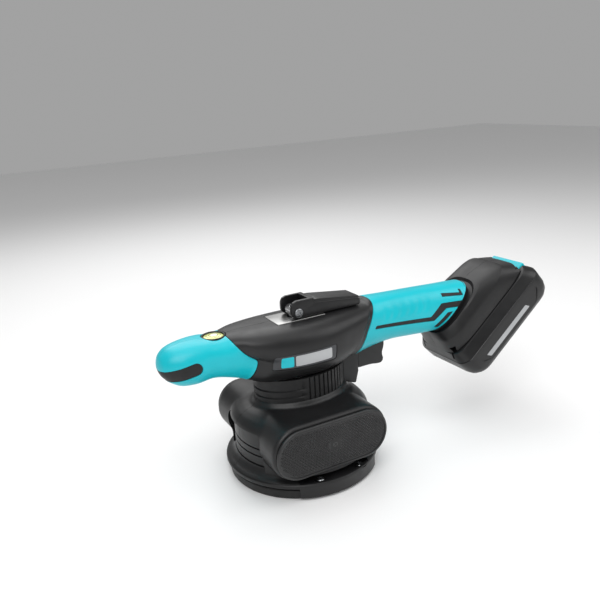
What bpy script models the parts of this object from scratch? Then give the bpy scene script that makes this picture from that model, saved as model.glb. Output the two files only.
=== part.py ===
"""Cordless tile vibrator: a suction head with two vibration motors under an in-line handle.

The tool stands on its suction ring. X runs along the handle, from the palm grip at -X to the
battery at +X. The housing is split into mirrored front (-Y) and back (+Y) halves.
The origin is the centre of the suction ring, on the floor.
"""
import bpy
import bmesh
from math import cos, sin, pi, radians
from mathutils import Matrix, Vector

MM = 0.001
GAP = 0.3           # clearance between neighbouring pieces, mm
SEAM = 0.1          # half of the gap between the two housing halves, mm
WALL = 2.3          # housing wall thickness, mm

RING_RADIUS = 64.0          # suction ring, outer
DRUM_RADIUS = 61.0          # vibrating head below the neck
BOSS_X = -1.0
BOSS_HALF_LENGTH = 53.6     # motor boss, along X
BOSS_HALF_HEIGHT = 23.5
BOSS_Z = 42.5
BOSS_REACH = 58.0           # from the middle plane to the boss's mouth
MOTOR_Y = 38.0
MOTOR_Z = 41.0
MOTOR_RADIUS = 15.0
SHAFT_RADIUS = 2.0
PLATE_TOP = 135.8           # steel plate that the lever's cam presses on
PIVOT_Z = 141.0             # lever pivot above the floor, lever folded back
LEVER_LENGTH = 60.0
CAM_RADIUS = 4.9            # under the pivot with the lever folded back
CAM_LIFT = 1.7              # how far the lever's cam lifts the rod when it stands up
PACK_TILT = radians(40.0)   # battery face against the handle's axis
CELL_RADIUS = 9.15
CELL_LENGTH = 65.0

# Handle stations, mm: x and z of the section's centre, half height, half width, lean dx/dz above
# and below the centre, and how boxy the upper half is (superellipse power).
PALM = [(-119.5, 119.5, 4.0, 5.0, 0.0, 0.0, 2.3), (-117.2, 119.5, 9.0, 10.0, 0.0, 0.0, 2.3),
        (-112.0, 119.0, 13.5, 14.5, 0.0, 0.0, 2.4), (-104.0, 118.0, 16.8, 18.0, 0.0, 0.0, 2.5),
        (-92.0, 118.0, 17.9, 19.5, 0.0, 0.0, 2.8), (-79.0, 118.5, 16.9, 19.7, -0.15, 0.0, 3.2),
        (-62.0, 116.6, 17.9, 20.2, -0.62, 0.2, 3.3), (-42.8, 112.5, 22.3, 21.6, -0.93, 0.38, 3.3)]
BODY = [(-42.4, 112.5, 22.3, 21.7, -0.93, 0.38, 3.3), (-33.0, 111.5, 24.2, 28.2, -0.74, 0.15, 3.6),
        (-20.0, 110.5, 25.2, 33.5, -0.4, 0.0, 3.9), (0.0, 110.0, 25.6, 36.0, -0.05, 0.0, 3.9),
        (20.0, 110.2, 25.4, 34.5, 0.2, 0.15, 3.6), (38.0, 111.0, 24.6, 29.5, 0.4, 0.3, 3.3),
        (52.0, 112.0, 23.6, 24.5, 0.55, 0.5, 3.0), (62.0, 113.0, 24.5, 20.5, 0.66, 0.66, 2.7)]
GRIP = [(62.4, 113.0, 24.5, 20.5, 0.66, 0.66, 2.7), (84.0, 114.4, 22.2, 18.6, 0.66, 0.62, 2.5),
        (108.0, 114.5, 21.0, 17.6, 0.7, 0.7, 2.5), (130.0, 113.2, 21.0, 17.4, 0.8, 0.8, 2.5),
        (150.0, 112.0, 21.0, 18.0, 0.95, 0.95, 2.5), (161.0, 111.5, 20.6, 19.0, 1.0, 1.0, 2.5)]
# Foot stations in the battery's frame: low u, low v, high u, high v, half width, power.
FOOT = [(166.6, 21.0, 224.4, 16.1, 19.0, 2.5), (166.2, 26.0, 249.0, 21.5, 24.0, 3.6),
        (164.6, 33.0, 262.0, 31.5, 28.0, 4.2), (162.0, 45.8, 275.5, 45.8, 29.0, 5.0)]
# Battery stations: v, low u, high u, half width.
PACK = [(56.3, 160.2, 280.5, 35.5), (72.0, 161.5, 281.0, 35.7),
        (81.0, 166.5, 277.5, 34.7), (85.5, 175.0, 270.5, 30.0)]
LID = [(46.2, 162.6, 275.0, 30.0), (56.0, 160.2, 280.5, 35.5)]
SKIRT_START, SKIRT_END = 47.0, 120.0    # flange skirt below the motor bosses, degrees
SLOT_X, SLOT_Z, SLOT_DIP = -95.0, 117.6, radians(12.0)     # round end of the palm insert
NECK_X, NECK_HALF_X, NECK_HALF_Y = 2.0, 41.5, 28.5
LOW_POWER = 2.25    # superellipse power of the handle's lower half
NECK_LOW, NECK_HIGH = 56.5, 90.0

for old in list(bpy.data.objects):
    bpy.data.objects.remove(old, do_unlink=True)
parts = bpy.data.collections.new("tile_vibrator")
cutters = bpy.data.collections.new("cutters")
for group in (parts, cutters):
    bpy.context.scene.collection.children.link(group)
cutters.hide_render = True

LOOKS = {
    "black_plastic": ((0.017, 0.018, 0.019), 0.45, 0.0), "teal_plastic": ((0.0, 0.50, 0.60), 0.42, 0.0),
    "black_rubber": ((0.012, 0.012, 0.012), 0.75, 0.0), "steel": ((0.62, 0.63, 0.64), 0.3, 1.0),
    "vial": ((0.55, 0.75, 0.05), 0.12, 0.0), "copper_board": ((0.02, 0.16, 0.07), 0.5, 0.0),
    "brass": ((0.80, 0.58, 0.24), 0.3, 1.0), "cell_wrap": ((0.05, 0.22, 0.42), 0.4, 0.0),
    "motor_steel": ((0.38, 0.39, 0.40), 0.35, 1.0),
}
materials = {}
for look, (colour, rough, metal) in LOOKS.items():
    material = bpy.data.materials.new(look)
    material.use_nodes = True
    shader = material.node_tree.nodes["Principled BSDF"]
    shader.inputs["Base Color"].default_value = (*colour, 1.0)
    shader.inputs["Roughness"].default_value = rough
    shader.inputs["Metallic"].default_value = metal
    materials[look] = material


def add(name, bm, look=None, pivot=(0, 0, 0), smooth=40):
    """Turn a bmesh in millimetres into an object whose origin is the pivot."""
    bmesh.ops.translate(bm, verts=bm.verts, vec=-Vector(pivot))
    bmesh.ops.scale(bm, verts=bm.verts, vec=(MM, MM, MM))
    mesh = bpy.data.meshes.new(name)
    bm.to_mesh(mesh)
    bm.free()
    mesh.shade_smooth()
    mesh.set_sharp_from_angle(angle=radians(smooth))
    obj = bpy.data.objects.new(name, mesh)
    obj.location = Vector(pivot) * MM
    if look:
        mesh.materials.append(materials[look])
        parts.objects.link(obj)
    else:
        cutters.objects.link(obj)
        obj.hide_render = True
        obj.display_type = 'WIRE'
    return obj


def outward(bm):
    bm.normal_update()
    bmesh.ops.recalc_face_normals(bm, faces=bm.faces)


def turn_to(axis):
    """Matrix that turns +Z to the named axis."""
    return {'X': Matrix.Rotation(pi / 2, 4, 'Y'), 'Y': Matrix.Rotation(-pi / 2, 4, 'X'),
            'Z': Matrix.Identity(4)}[axis]


def put_cylinder(bm, centre, radius, length, axis='Z', sides=32):
    matrix = Matrix.Translation(centre) @ turn_to(axis)
    bmesh.ops.create_cone(bm, cap_ends=True, segments=sides, radius1=radius, radius2=radius,
                          depth=length, matrix=matrix)


def put_box(bm, low, high):
    size = [b - a for a, b in zip(low, high)]
    middle = [(a + b) / 2 for a, b in zip(low, high)]
    matrix = Matrix.Translation(middle) @ Matrix.Diagonal((*size, 1))
    return bmesh.ops.create_cube(bm, size=1.0, matrix=matrix)['verts']


def cylinder(name, look, centre, radius, length, axis='Z', sides=32, pivot=(0, 0, 0)):
    bm = bmesh.new()
    put_cylinder(bm, centre, radius, length, axis, sides)
    return add(name, bm, look, pivot)


def box(name, look, low, high, pivot=(0, 0, 0), round_by=0.0):
    bm = bmesh.new()
    put_box(bm, low, high)
    obj = add(name, bm, look, pivot)
    if round_by:
        bevel(obj, round_by, 2)
    return obj


def bevel(obj, width, segments=1, angle=40):
    step = obj.modifiers.new("edges", 'BEVEL')
    step.width = width * MM
    step.segments = segments
    step.limit_method = 'ANGLE'
    step.angle_limit = radians(angle)


def cut(obj, cutter, operation='DIFFERENCE'):
    step = obj.modifiers.new("cut", 'BOOLEAN')
    step.operation = operation
    step.solver = 'EXACT'
    step.object = cutter


def turned(name, look, profile, sides=48, pivot=(0, 0, 0), axis='Z', centre=(0, 0, 0)):
    """Revolve a closed outline of (radius, height) points about the axis through the centre."""
    bm = bmesh.new()
    corners = [bm.verts.new((r, 0, z)) for r, z in profile]
    edges = [bm.edges.new((a, b)) for a, b in zip(corners, corners[1:] + corners[:1])]
    bmesh.ops.spin(bm, geom=corners + edges, cent=(0, 0, 0), axis=(0, 0, 1), angle=2 * pi,
                   steps=sides, use_merge=True, use_duplicate=False)
    bmesh.ops.remove_doubles(bm, verts=bm.verts, dist=1e-4)
    bmesh.ops.transform(bm, verts=bm.verts, matrix=Matrix.Translation(centre) @ turn_to(axis))
    outward(bm)
    return add(name, bm, look, pivot)


def prism(name, look, outline, low, high, axis='Y', pivot=(0, 0, 0)):
    """Push a flat outline through from low to high along Y (points are x, z) or Z (x, y)."""
    bm = bmesh.new()
    place = (lambda a, b, t: (a, t, b)) if axis == 'Y' else (lambda a, b, t: (a, b, t))
    rings = [[bm.verts.new(place(a, b, t)) for a, b in outline] for t in (low, high)]
    bm.faces.new(rings[0])
    bm.faces.new(rings[1][::-1])
    for i in range(len(outline)):
        j = (i + 1) % len(outline)
        bm.faces.new((rings[0][j], rings[0][i], rings[1][i], rings[1][j]))
    outward(bm)
    return add(name, bm, look, pivot)


def stadium(half_length, half_height, z=BOSS_Z, x=BOSS_X, sides=10):
    straight = half_length - half_height
    points = []
    for end in (1, -1):
        for i in range(sides + 1):
            angle = -pi / 2 + pi * i / sides + (0 if end > 0 else pi)
            points.append((x + end * straight + half_height * cos(angle),
                           z + half_height * sin(angle)))
    return points


def squircle(angle, power):
    """Point of the unit superellipse, at an angle measured from the side towards the top."""
    c, s = cos(angle), sin(angle)
    return abs(c) ** (2 / power), (1 if s > 0 else -1) * abs(s) ** (2 / power)


def station_point(station, angle, grow=0.0):
    x, z, half_height, half_width, lean_up, lean_low, top_power = station
    across, up = squircle(angle, top_power if angle > 0 else LOW_POWER)
    rise = (half_height + grow) * up
    return x + (lean_up if up > 0 else lean_low) * rise, (half_width + grow) * across, z + rise


def pack_point(u, v):
    """Battery frame to the tool's x, z: u along the pack towards its top end, v outwards."""
    c, s = cos(PACK_TILT), sin(PACK_TILT)
    return c * u + s * v, s * u - c * v


def foot_point(station, angle, grow=0.0):
    low_u, low_v, high_u, high_v, half_width, power = station
    across, up = squircle(angle, power)
    t = (up + 1) / 2
    x, z = pack_point(low_u - grow + (high_u - low_u + 2 * grow) * t, low_v + (high_v - low_v) * t)
    return x, (half_width + grow) * across, z


def half_shell(name, look, stations, side, point=station_point, steps=12, wall=WALL):
    """One half of a hollow handle section: outer and inner skins joined along the seam and ends."""
    bm = bmesh.new()
    skins = []
    for grow in (0.0, -wall):
        rows = []
        for station in stations:
            row = []
            for i in range(steps + 1):
                x, y, z = point(station, pi / 2 - pi * i / steps, grow)
                row.append(bm.verts.new((x, side * (y + SEAM), z)))
            rows.append(row)
        skins.append(rows)
    outer, inner = skins
    for rows in skins:
        for a, b in zip(rows, rows[1:]):
            for i in range(steps):
                bm.faces.new((a[i], b[i], b[i + 1], a[i + 1]))
    for o, n in ((outer[0], inner[0]), (outer[-1], inner[-1])):
        for i in range(steps):
            bm.faces.new((o[i], o[i + 1], n[i + 1], n[i]))
    for i in (0, -1):
        for j in range(len(stations) - 1):
            bm.faces.new((outer[j][i], outer[j + 1][i], inner[j + 1][i], inner[j][i]))
    outward(bm)
    return add(name, bm, look)


def full_loft(name, look, stations, point=station_point, steps=12, grow=0.0):
    """A solid between sections, closed at both ends."""
    bm = bmesh.new()
    rows = []
    for station in stations:
        row = []
        for i in range(2 * steps):
            side = 1 if i <= steps else -1
            x, y, z = point(station, pi / 2 - pi * (i if side > 0 else 2 * steps - i) / steps, grow)
            row.append(bm.verts.new((x, side * y, z)))
        rows.append(row)
    for a, b in zip(rows, rows[1:]):
        for i in range(2 * steps):
            j = (i + 1) % (2 * steps)
            bm.faces.new((a[i], b[i], b[j], a[j]))
    bm.faces.new(rows[0])
    bm.faces.new(rows[-1][::-1])
    outward(bm)
    return add(name, bm, look)


def rounded_rows(name, look, rows, corner=12.0, pivot=(0, 0, 0), steps=3):
    """A solid whose sections are rounded rectangles in the battery's frame."""
    bm = bmesh.new()
    rings = []
    for v, low, high, half in rows:
        ring = []
        r = min(corner, half)
        for cu, cy, start in ((high - r, half - r, 0), (low + r, half - r, 1),
                              (low + r, r - half, 2), (high - r, r - half, 3)):
            for i in range(steps + 1):
                angle = (start + i / steps) * pi / 2
                x, z = pack_point(cu + r * cos(angle), v)
                ring.append(bm.verts.new((x, cy + r * sin(angle), z)))
        rings.append(ring)
    count = len(rings[0])
    for a, b in zip(rings, rings[1:]):
        for i in range(count):
            bm.faces.new((a[i], a[(i + 1) % count], b[(i + 1) % count], b[i]))
    bm.faces.new(rings[0])
    bm.faces.new(rings[-1][::-1])
    outward(bm)
    return add(name, bm, look, pivot)


def tilted_box(name, look, low, high, pivot=(0, 0, 0), round_by=0.0):
    """A box along the battery's axes: (u, y, v) corners."""
    bm = bmesh.new()
    for vert in put_box(bm, low, high):
        u, y, v = vert.co
        x, z = pack_point(u, v)
        vert.co = (x, y, z)
    outward(bm)
    obj = add(name, bm, look, pivot)
    if round_by:
        bevel(obj, round_by, 2)
    return obj


def coil(name, centre, direction, radius, wire, length, turns, look="steel", per_turn=12):
    """A compression spring as a thick poly curve."""
    curve = bpy.data.curves.new(name, 'CURVE')
    curve.dimensions = '3D'
    curve.bevel_depth = wire * MM
    curve.bevel_resolution = 0
    curve.render_resolution_u = 0
    curve.use_fill_caps = True
    spline = curve.splines.new('POLY')
    count = turns * per_turn + 1
    spline.points.add(count - 1)
    frame = Vector(direction).to_track_quat('Z', 'Y').to_matrix()
    for i, spot in enumerate(spline.points):
        angle = 2 * pi * i / per_turn
        local = Vector((radius * cos(angle), radius * sin(angle), length * (i / (count - 1) - 0.5)))
        spot.co = (*(frame @ local * MM), 1)
    curve.materials.append(materials[look])
    obj = bpy.data.objects.new(name, curve)
    obj.location = Vector(centre) * MM
    parts.objects.link(obj)
    return obj


def halves():
    return (("front", -1), ("back", 1))


def neck_solid(name, look, grow, low, high, steps=32):
    outline = [(NECK_X + (NECK_HALF_X + grow) * cos(2 * pi * i / steps),
                (NECK_HALF_Y + grow) * sin(2 * pi * i / steps)) for i in range(steps)]
    return prism(name, look, outline, low, high, axis='Z')


# ---- suction foot ----

def suction_foot():
    turned("seal_ring", "black_rubber", [(49, 0), (RING_RADIUS - 1, 0), (RING_RADIUS, 1.2),
                                         (RING_RADIUS, 9.0), (63, 9.9), (49, 9.9)])
    turned("suction_disc", "black_rubber",
           [(0.01, 0), (47, 0), (48, 1), (48, 3.2), (46, 3.8), (12, 3.8), (10, 6.5), (0.01, 6.5)])
    flange = turned("base_flange", "black_plastic",
                    [(52, 10.3), (65.8, 10.3), (67, 11.4), (67, 14.6), (65, 15.4), (63.2, 14.0),
                     (52, 14.0)])
    for side in (-1, 1):
        arc = [radians(SKIRT_START + (SKIRT_END - SKIRT_START) * i / 12) for i in range(13)]
        skirt = prism("skirt_cutter_%d" % side, None,
                      [(66.4 * cos(t), side * 66.4 * sin(t)) for t in arc]
                      + [(64.4 * cos(t), side * 64.4 * sin(t)) for t in arc[::-1]], 2.2, 11.5, axis='Z')
        cut(flange, skirt, 'UNION')
    for side, word in ((-1, "front"), (1, "back")):
        for x, y, tag in ((-14, 57.5 * side, "left"), (25, 56.5 * side, "right")):
            hole = cylinder("screw_hole_%s_%s" % (word, tag), None, (x, y, 12), 1.75, 16, sides=16)
            sink = cylinder("screw_sink_%s_%s" % (word, tag), None, (x, y, 14.3), 4.4, 3.0, sides=20)
            cut(flange, hole)
            cut(flange, sink)
            screw("flange_screw_%s_%s" % (word, tag), (x, y, 13.1), (0, 0, 1), 3.6, 2.2, 1.45, 2.6)


def screw(name, seat, out, head, height, shank, length, look="steel"):
    """A pan-head screw with a cross slot; seat is under the head, out points away from the work."""
    bm = bmesh.new()
    profile = [(0.01, -length), (shank, -length), (shank, 0), (head, 0), (head, height * 0.55),
               (head * 0.75, height), (0.01, height)]
    corners = [bm.verts.new((r, 0, z)) for r, z in profile]
    edges = [bm.edges.new((a, b)) for a, b in zip(corners, corners[1:])]
    bmesh.ops.spin(bm, geom=corners + edges, cent=(0, 0, 0), axis=(0, 0, 1), angle=2 * pi, steps=16)
    bmesh.ops.remove_doubles(bm, verts=bm.verts, dist=0.02)
    bmesh.ops.holes_fill(bm, edges=bm.edges, sides=0)
    matrix = Matrix.Translation(seat) @ Vector(out).to_track_quat('Z', 'Y').to_matrix().to_4x4()
    bmesh.ops.transform(bm, verts=bm.verts, matrix=matrix)
    outward(bm)
    return add(name, bm, look)


# ---- vibrating head ----

def drum_outline(inset):
    r = DRUM_RADIUS - inset
    top = 66 - inset
    return [(0.01, 14.4), (r, 14.4), (r, 50), (58 - inset, 56 - inset * 0.7),
            (50 - inset, 62 - inset), (40, top), (0.01, top)]


def vibrating_head():
    neck_cut = neck_solid("neck_cutter", None, GAP, NECK_LOW - 3, NECK_HIGH + 2)
    inside = turned("drum_inside", None, [(r, z - 2 if z < 15 else z)
                                          for r, z in drum_outline(2.6)])
    for word, side in halves():
        shell = turned("base_shell_" + word, "black_plastic", drum_outline(0))
        reach = BOSS_REACH * side
        boss = prism("boss_cutter_" + word, None, stadium(BOSS_HALF_LENGTH, BOSS_HALF_HEIGHT),
                     min(0, reach), max(0, reach))
        hollow = prism("boss_inside_" + word, None, stadium(BOSS_HALF_LENGTH - 2.6, BOSS_HALF_HEIGHT - 2.6),
                       min(0, reach * 1.1), max(0, reach * 1.1))
        away = box("half_cutter_" + word, None, (-90, -SEAM if side < 0 else -90, -5),
                   (90, 90 if side < 0 else SEAM, 90))
        cut(shell, boss, 'UNION')
        for cutter in (inside, hollow, neck_cut, away):
            cut(shell, cutter)
        edges = sorted((50.0 * side, 47.8 * side))
        cut(shell, box("recess_wall_cutter_" + word, None, (-34.6, edges[0], 14.4),
                       (34.6, edges[1], 21.5)), 'UNION')
        edges = sorted((50.0 * side, 80.0 * side))
        cut(shell, box("recess_cutter_" + word, None, (-33, edges[0], 0), (33, edges[1], 18.6)))
        edges = sorted((reach, 90.0 * side))
        cut(shell, box("mouth_cutter_" + word, None, (-90, edges[0], 10), (90, edges[1], 80)))
        mouth = side * (BOSS_REACH + GAP)
        pad = prism("tread_pad_" + word, "black_rubber",
                    stadium(BOSS_HALF_LENGTH - 0.4, BOSS_HALF_HEIGHT - 0.4),
                    min(mouth, mouth + 3.2 * side), max(mouth, mouth + 3.2 * side))
        bevel(pad, 1.2, 2)
        cut(pad, cylinder("pad_hole_" + word, None, (0, mouth, BOSS_Z), 1.9, 16, axis='Y', sides=16))
        screw("pad_screw_" + word, (0, mouth + 3.5 * side, BOSS_Z), (0, side, 0), 3.4, 1.6, 1.5, 7.5)
        motor(word, side)
    return neck_cut


def motor(word, side):
    y = MOTOR_Y * side
    cradle = box("motor_cradle_" + word, "black_plastic",
                 (-20, min(side * 53.6, side * 57.8), 30), (20, max(side * 53.6, side * 57.8), 53))
    cut(cradle, cylinder("cradle_hole_" + word, None, (0, side * 56, BOSS_Z), 1.9, 12, axis='Y', sides=16))
    spot = (0, y, MOTOR_Z)
    turned("motor_can_" + word, "motor_steel",
           [(SHAFT_RADIUS + 0.3, -23), (13.6, -23), (MOTOR_RADIUS, -21.6), (MOTOR_RADIUS, 21.6),
            (13.6, 23), (SHAFT_RADIUS + 0.3, 23)], sides=32, axis='X', centre=spot)
    turned("motor_bearing_" + word, "steel", [(SHAFT_RADIUS + 0.08, 23.2), (6, 23.2), (6, 26.8),
                                              (SHAFT_RADIUS + 0.08, 26.8)],
           sides=24, axis='X', centre=spot)
    cylinder("motor_shaft_" + word, "steel", spot, SHAFT_RADIUS, 74, axis='X', sides=24, pivot=spot)
    for x, tag in ((31.5, "right"), (-31.5, "left")):
        outline = [(y + 16 * cos(a), MOTOR_Z + 16 * sin(a))
                   for a in (pi + pi * i / 14 for i in range(15))]
        outline += [(y + 4.5, MOTOR_Z + 4.5), (y - 4.5, MOTOR_Z + 4.5)]
        bm = bmesh.new()
        rings = [[bm.verts.new((x + t, a, b)) for a, b in outline] for t in (-4, 4)]
        bm.faces.new(rings[0])
        bm.faces.new(rings[1][::-1])
        for i in range(len(outline)):
            j = (i + 1) % len(outline)
            bm.faces.new((rings[0][j], rings[0][i], rings[1][i], rings[1][j]))
        outward(bm)
        weight = add("eccentric_%s_%s" % (word, tag), bm, "brass", pivot=spot)
        cut(weight, cylinder("bore_%s_%s" % (word, tag), None, (x, y, MOTOR_Z), SHAFT_RADIUS + 0.05,
                             12, axis='X', sides=24))


def neck():
    """Flexible sleeve between the vibrating head and the handle, with bellows folds."""
    bm = bmesh.new()
    levels = [(NECK_LOW, 0), (62, 0), (64.5, 0), (66, -1.6), (67.5, 0), (71, 0), (72.5, -1.6), (74, 0),
              (78, 0), (79.5, -1.6), (81, 0), (NECK_HIGH, 0)]
    count = 32

    def ring(z, grow):
        return [bm.verts.new((NECK_X + (NECK_HALF_X + grow) * cos(2 * pi * i / count),
                              (NECK_HALF_Y + grow) * sin(2 * pi * i / count), z)) for i in range(count)]
    rings = [ring(z, g) for z, g in levels]
    rings += [ring(NECK_HIGH, -3.6), ring(NECK_LOW, -3.6)]
    for a, b in zip(rings, rings[1:] + rings[:1]):
        for i in range(count):
            bm.faces.new((a[i], a[(i + 1) % count], b[(i + 1) % count], b[i]))
    outward(bm)
    add("neck_sleeve", bm, "black_rubber")


# ---- handle housing ----

def handle(neck_cut):
    insert_slab = prism("insert_slot_cutter", None, slot_outline(GAP), -30, 30)
    level_pocket = cylinder("level_pocket_cutter", None, (-72, 0, 136.6), 10.4, 12, sides=32)
    plate_pocket = box("plate_pocket_cutter", None, (-21, -13.5, PLATE_TOP - 1.9), (24.5, 13.5, 150))
    rod_hole = cylinder("rod_hole_cutter", None, (0, 0, 130), 5.2, 30, sides=24)
    cover_cut = box("cover_cutter", None, (36.0, -11.3, 60), (57.0, 11.3, 98))
    trigger_cut = box("trigger_cutter", None, (56.9, -8.4, 60), (87.2, 8.4, 101))
    for word, side in halves():
        palm = half_shell("palm_shell_" + word, "teal_plastic", PALM, side)
        cut(palm, insert_slab)
        cut(palm, level_pocket)
        body = half_shell("body_shell_" + word, "black_plastic", BODY, side, steps=16)
        for cutter in (neck_cut, cover_cut, plate_pocket, rod_hole, level_pocket):
            cut(body, cutter)
        grip = half_shell("grip_shell_" + word, "teal_plastic", GRIP, side)
        for cutter in (neck_cut, cover_cut, trigger_cut):
            cut(grip, cutter)
        foot = half_shell("foot_shell_" + word, "black_plastic", FOOT, side, point=foot_point,
                          steps=14)
        rails = tilted_box("rail_slot_cutter_" + word, None, (165, -24.6, 39.8), (290, 24.6, 60))
        cut(foot, rails)
    insert = full_loft("palm_insert", "black_rubber",
                       [(-121.5, 119.5, 1.2, 2.0, 0.0, 0.0, 2.3)] + PALM[1:5], grow=0.5)
    core = full_loft("insert_inside_cutter", None,
                     [(-117.5, 119.5, 3.0, 3.0, 0.0, 0.0, 2.3)] + PALM[1:6], grow=-1.7)
    cut(insert, prism("insert_slab_cutter", None, slot_outline(0), -30, 30), 'INTERSECT')
    cut(insert, core)


def slot_outline(grow):
    """Side outline of the rubber insert that wraps the palm grip's nose, dipping towards it."""
    r = 5.0 + grow
    c, s = cos(SLOT_DIP), sin(SLOT_DIP)
    outline = [(-40, r), (-40, -r)]
    outline += [(r * cos(a), r * sin(a)) for a in (-pi / 2 + pi * i / 8 for i in range(9))]
    return [(SLOT_X + x * c - z * s, SLOT_Z + x * s + z * c) for x, z in outline]


def bubble_level():
    spot = (-72, 0, 0)
    turned("level_bezel", "black_plastic", [(8.3, 130.9), (10.0, 130.9), (10.0, 134.8), (9.5, 135.2),
                                            (8.3, 135.2)], sides=32, centre=spot)
    cylinder("level_vial", "vial", (-72, 0, 132.8), 8.1, 3.6, sides=32)


def suction_lift():
    """Steel pull rod, its lever and the plate the lever's cam bears on."""
    plate = box("saddle_plate", "steel", (-20.5, -13, PLATE_TOP - 1.5), (24, 13, PLATE_TOP))
    cut(plate, cylinder("plate_hole_cutter", None, (0, 0, 135), 5.3, 10, sides=24))
    rod = cylinder("pull_rod", "steel", (0, 0, (7 + PIVOT_Z) / 2), 3.5, PIVOT_Z - 7, sides=24)
    cut(rod, cylinder("rod_collar_cutter", None, (0, 0, 60), 8.5, 3, sides=24), 'UNION')
    cut(rod, cylinder("rod_head_cutter", None, (0, 0, PIVOT_Z), 4.5, 10, axis='Y', sides=24), 'UNION')
    cut(rod, cylinder("rod_eye_cutter", None, (0, 0, PIVOT_Z), 2.6, 14, axis='Y', sides=24))
    coil("return_spring", (0, 0, 96.9), (0, 0, 1), 6.6, 0.7, 68.0, 8)
    pivot = (0, 0, PIVOT_Z)
    steps = 8
    outline = [(0, -CAM_RADIUS), (LEVER_LENGTH - 1, -CAM_RADIUS), (LEVER_LENGTH + 0.5, -3.5),
               (LEVER_LENGTH + 0.5, 1.2), (LEVER_LENGTH - 3.5, 3.4), (16, 8.0), (13, 10.3), (-2.2, 10.3),
               (-5.4, 8.6), (-6.6, 5.2)]
    outline += [(-(CAM_RADIUS + CAM_LIFT * t / steps) * sin(pi / 2 * t / steps),
                 -(CAM_RADIUS + CAM_LIFT * t / steps) * cos(pi / 2 * t / steps))
                for t in range(steps, 0, -1)]
    lever = prism("lever", "black_plastic", [(x, z + PIVOT_Z) for x, z in outline], -11, 11, pivot=pivot)
    inner = [(-12, -12), (LEVER_LENGTH - 2.5, -12), (LEVER_LENGTH - 2.5, -1.2), (LEVER_LENGTH - 5.5, 0.9),
             (16, 5.4), (11, 6.4), (11, 14), (-12, 14)]
    cut(lever, prism("lever_inside_cutter", None, [(x, z + PIVOT_Z) for x, z in inner], -8.3, 8.3))
    cut(lever, cylinder("lever_eye_cutter", None, pivot, 2.6, 40, axis='Y', sides=24))
    bolt = cylinder("pivot_screw", "steel", pivot, 2.5, 24.4, axis='Y', sides=24, pivot=pivot)
    for side in (-1, 1):
        cap = cylinder("pivot_cap_cutter_%d" % side, None, (0, side * 11.8, PIVOT_Z), 3.8, 1.2, axis='Y',
                       sides=24)
        cut(bolt, cap, 'UNION')


def controls():
    cover = prism("switch_cover", "black_plastic",
                  [(36.5, 68.6), (45, 66.2), (50, 64.6), (53.4, 63.4), (54.8, 68), (56.6, 74.5), (56.6, 97),
                   (36.5, 97)], -11, 11)
    bevel(cover, 1.0)
    cut(cover, neck_solid("cover_cutter", None, GAP, NECK_LOW, 110))
    trigger = prism("trigger", "black_plastic",
                    [(57.4, 76.2), (60, 75.4), (73, 75.4), (79, 74.4), (83, 74.4), (85.4, 76.6), (84.7, 83),
                     (86.5, 92), (86.5, 98.5), (57.4, 98.5)], -8, 8, pivot=(76, 0, 84))
    bevel(trigger, 1.0, 1)
    box("trigger_switch", "black_plastic", (67, -8.5, 107.5), (93, 8.5, 124), round_by=0.8)
    coil("trigger_spring", (77, 0, 103.0), (0, 0, 1), 3.2, 0.35, 7.6, 4, per_turn=10)
    box("control_board", "copper_board", (100, -12, 108), (142, 12, 109.8))
    box("board_heatsink", "motor_steel", (108, -8, 110.0), (130, 8, 118))


def latch_bore_cutter():
    """Blind hole in the latch that the spring reaches into."""
    x, z = pack_point(270.0, 50.9)
    bm = bmesh.new()
    put_cylinder(bm, (0, 0, 0), 2.8, 10.0, sides=20)
    spot = Matrix.Translation((x, 0, z)) @ Matrix.Rotation(pi / 2 - PACK_TILT, 4, 'Y')
    bmesh.ops.transform(bm, verts=bm.verts, matrix=spot)
    return add("latch_bore_cutter", bm)


def battery():
    tilted_box("terminal_block", "black_plastic", (196, -13, 29), (236, 13, 39))
    for i, y in enumerate((-8, 0, 8)):
        tilted_box("terminal_blade_%d" % (i + 1), "brass", (206, y - 0.4, 39.3), (224, y + 0.4, 43.6))
    case = rounded_rows("battery_case", "black_plastic", PACK)
    room = tilted_box("case_inside_cutter", None, (169, -33.0, 50), (259.4, 33.0, 80.2))
    cut(case, room)
    lid = rounded_rows("battery_lid", "black_plastic", LID)
    tongue = tilted_box("lid_tongue_cutter", None, (176, -24.0, 40.4), (268, 24.0, 50))
    cut(lid, tongue, 'UNION')
    groove = tilted_box("lid_groove_cutter", None, (150, -16, 38.0), (232, 16, 46.0))
    cut(lid, groove)
    pocket = tilted_box("latch_pocket_cutter", None, (263.7, -20.4, 46.0), (290, 20.4, 54.9))
    cut(lid, pocket)
    latch = tilted_box("battery_latch", "teal_plastic", (269.0, -20, 47.3), (278.6, 20, 54.5), round_by=0.8)
    x, z = pack_point(267.9, 50.9)
    along = (cos(PACK_TILT), 0, sin(PACK_TILT))
    coil("latch_spring", (x, 0, z), along, 1.9, 0.3, 7.4, 4, per_turn=10)
    cut(latch, latch_bore_cutter())
    for i in range(4):
        x, z = pack_point(180.5 + 19.5 * i, 69.6)
        cylinder("battery_cell_%d" % (i + 1), "cell_wrap", (x, 0, z), CELL_RADIUS, CELL_LENGTH,
                 axis='Y', sides=28)


suction_foot()
neck_cutter = vibrating_head()
neck()
handle(neck_cutter)
bubble_level()
suction_lift()
controls()
battery()
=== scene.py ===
import bpy
from math import sin, cos, pi, radians, sqrt, hypot, copysign
from mathutils import Vector, Matrix


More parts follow.
